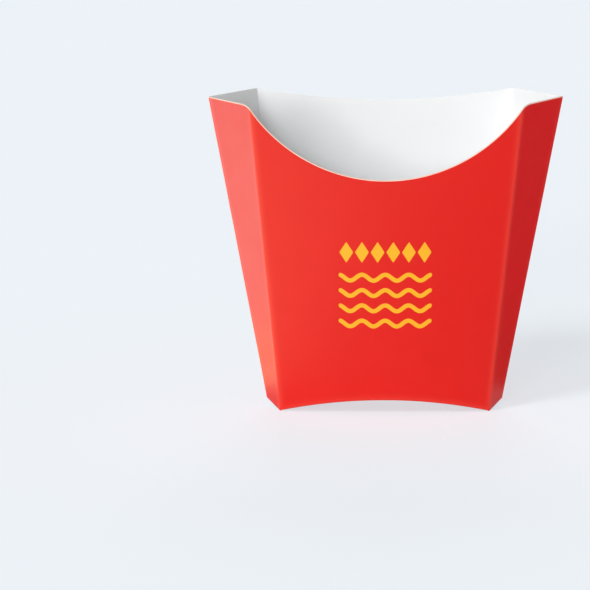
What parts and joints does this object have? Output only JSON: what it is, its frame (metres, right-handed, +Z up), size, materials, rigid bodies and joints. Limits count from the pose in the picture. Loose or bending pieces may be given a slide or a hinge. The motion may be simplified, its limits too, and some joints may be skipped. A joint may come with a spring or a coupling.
{
  "type": "french fry carton",
  "caption": "Folded board carton for french fries, open at the top, with a deep scoop cut in the front, winged sides and an arched bottom.",
  "frame": {"origin": "middle of the footprint, on the surface that the carton stands on", "axes": "+X along the carton's width, +Y from the scooped front towards the back, +Z up"},
  "size_m": [0.1396, 0.0634, 0.1255],
  "materials": {
    "printed_board": "satin",
    "yellow_ink": "satin"
  },
  "bodies": {
    "root": {"carton": "printed_board"}
  },
  "joints": []
}
